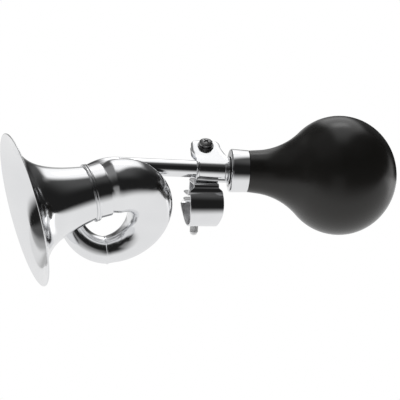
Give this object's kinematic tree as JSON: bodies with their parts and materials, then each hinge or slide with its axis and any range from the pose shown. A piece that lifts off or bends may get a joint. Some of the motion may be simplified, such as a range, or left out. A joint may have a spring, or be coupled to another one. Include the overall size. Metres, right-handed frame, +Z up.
{
  "type": "bicycle horn",
  "caption": "Chromed coiled bulb horn with a flared bell, black rubber bulb and a swivelling strap clamp for a bicycle handlebar.",
  "frame": {"origin": "centre of the handlebar bore in the handlebar strap", "axes": "+X along the horn's pipe from the coil to the rubber bulb, +Z up from the handlebar to the pipe, and the bell's tube comes forward of the pipe on the -Y side"},
  "size_m": [0.2315, 0.1142, 0.0972],
  "materials": {
    "chrome": "polished",
    "brass": "satin",
    "rubber": "satin",
    "steel": "satin"
  },
  "bodies": {
    "handlebar_strap": {"bar_strap": "chrome", "bar_screw_washer": "steel", "bar_nut": "steel"},
    "handlebar_screw": {"bar_screw": "steel"},
    "pipe_clamp": {"pipe_strap": "chrome", "pipe_screw_washer": "steel", "pipe_nut": "steel", "swivel_rivet": "steel", "swivel_washer": "steel"},
    "pipe_clamp_screw": {"pipe_screw": "steel"},
    "horn": {"bell": "chrome", "bell_ring": "chrome", "coil_sleeve": "chrome", "front_bend": "chrome", "seam_ring": "chrome", "rear_bend": "chrome", "pipe": "chrome", "pipe_collar": "chrome", "collar_washer": "rubber", "reed_tube": "brass", "reed_clip": "brass"},
    "reed": {"reed_tongue": "brass"},
    "holder": {"bulb_holder": "chrome"},
    "rubber_bulb": {"bulb": "rubber"}
  },
  "joints": [
    {"name": "bracket_swivel", "type": "hinge", "parent": "handlebar_strap", "child": "pipe_clamp", "pos_m": [0, 0, 0.0145], "axis": [0, 0, 1], "range_deg": [0, 98]},
    {"name": "bar_screw_turn", "type": "hinge", "parent": "handlebar_strap", "child": "handlebar_screw", "pos_m": [-0.0015, 0.01716, 0.0047], "axis": [0, 0, 1], "continuous": true},
    {"name": "pipe_screw_turn", "type": "hinge", "parent": "pipe_clamp", "child": "pipe_clamp_screw", "pos_m": [0.001, 0.01292, 0.02788], "axis": [0, -0.454, 0.891], "continuous": true},
    {"name": "horn_turn", "type": "hinge", "parent": "pipe_clamp", "child": "horn", "pos_m": [0, 0, 0.0213], "axis": [1, 0, 0], "continuous": true},
    {"name": "reed_flex", "type": "hinge", "parent": "horn", "child": "reed", "pos_m": [0.0179, 0.00047, 0.02339], "axis": [0, 0.9755, -0.2198], "range_deg": [-1, 1], "stiffness_Nm_per_rad": 0.02},
    {"name": "bulb_pull_off", "type": "slide", "parent": "horn", "child": "holder", "axis": [1, 0, 0], "range_m": [0, 0.03]},
    {"name": "bulb_squeeze", "type": "slide", "parent": "holder", "child": "rubber_bulb", "axis": [-1, 0, 0], "range_m": [0, 0.014], "stiffness_N_per_m": 1500, "deforming": ["bulb"]}
  ]
}
